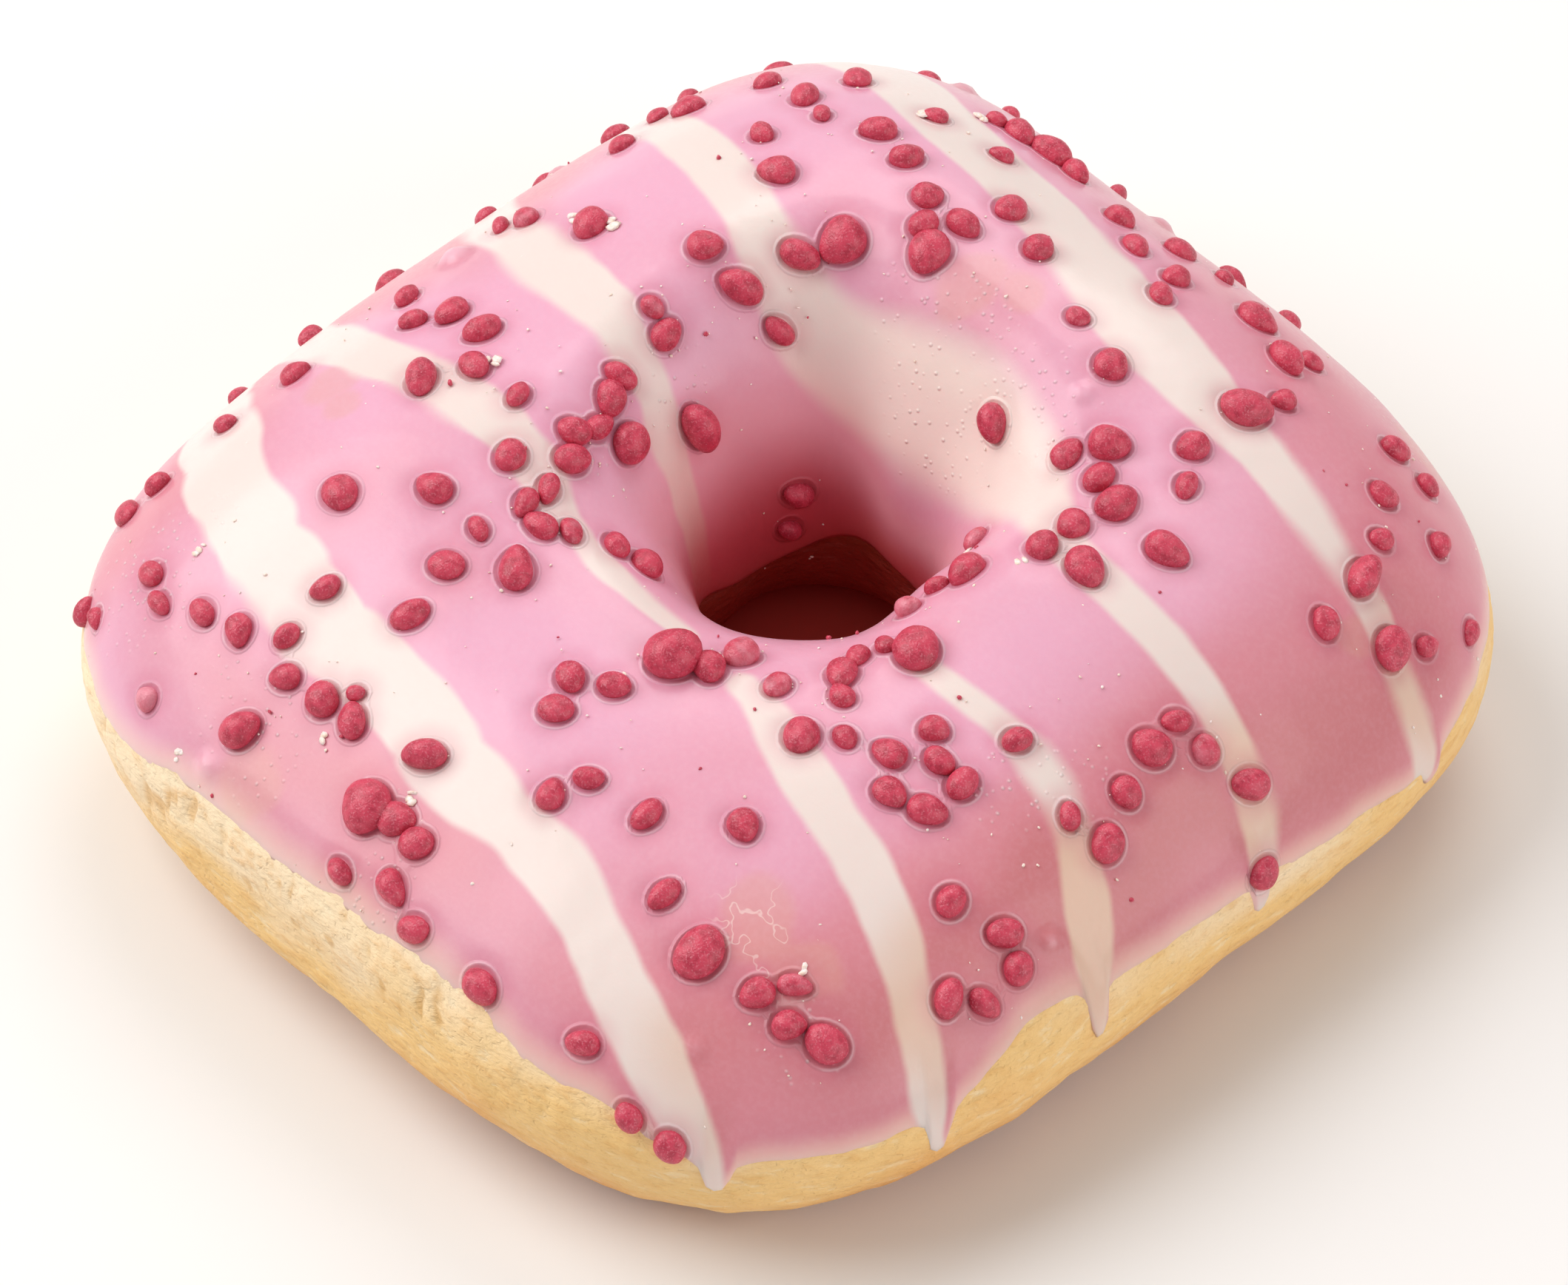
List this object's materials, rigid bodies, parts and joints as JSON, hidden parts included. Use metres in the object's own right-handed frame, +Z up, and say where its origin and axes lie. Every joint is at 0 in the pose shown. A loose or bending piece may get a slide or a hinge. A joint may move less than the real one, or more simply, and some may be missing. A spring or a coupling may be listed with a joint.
{
  "type": "frosted doughnut",
  "caption": "Square ring doughnut with rounded corners and a small hole, iced in pink with white stripes and crunchy fruit granules.",
  "frame": {"origin": "the middle of the whole box seen from above, on the surface that the doughnut stands on", "axes": "+Z up through the hole, +Y along the longer side of the square, +X across it; the camera of the picture looks from between +X and -Y"},
  "size_m": [0.0818, 0.0866, 0.0336],
  "materials": {
    "dough": "soft fried crust, cream at the belt and golden below",
    "icing": "soft wet gloss, pink with flush cream white stripes",
    "granules": "matte and grainy, raspberry red with pale specks"
  },
  "bodies": {
    "root": {"dough": "dough", "icing": "icing"}
  },
  "joints": []
}
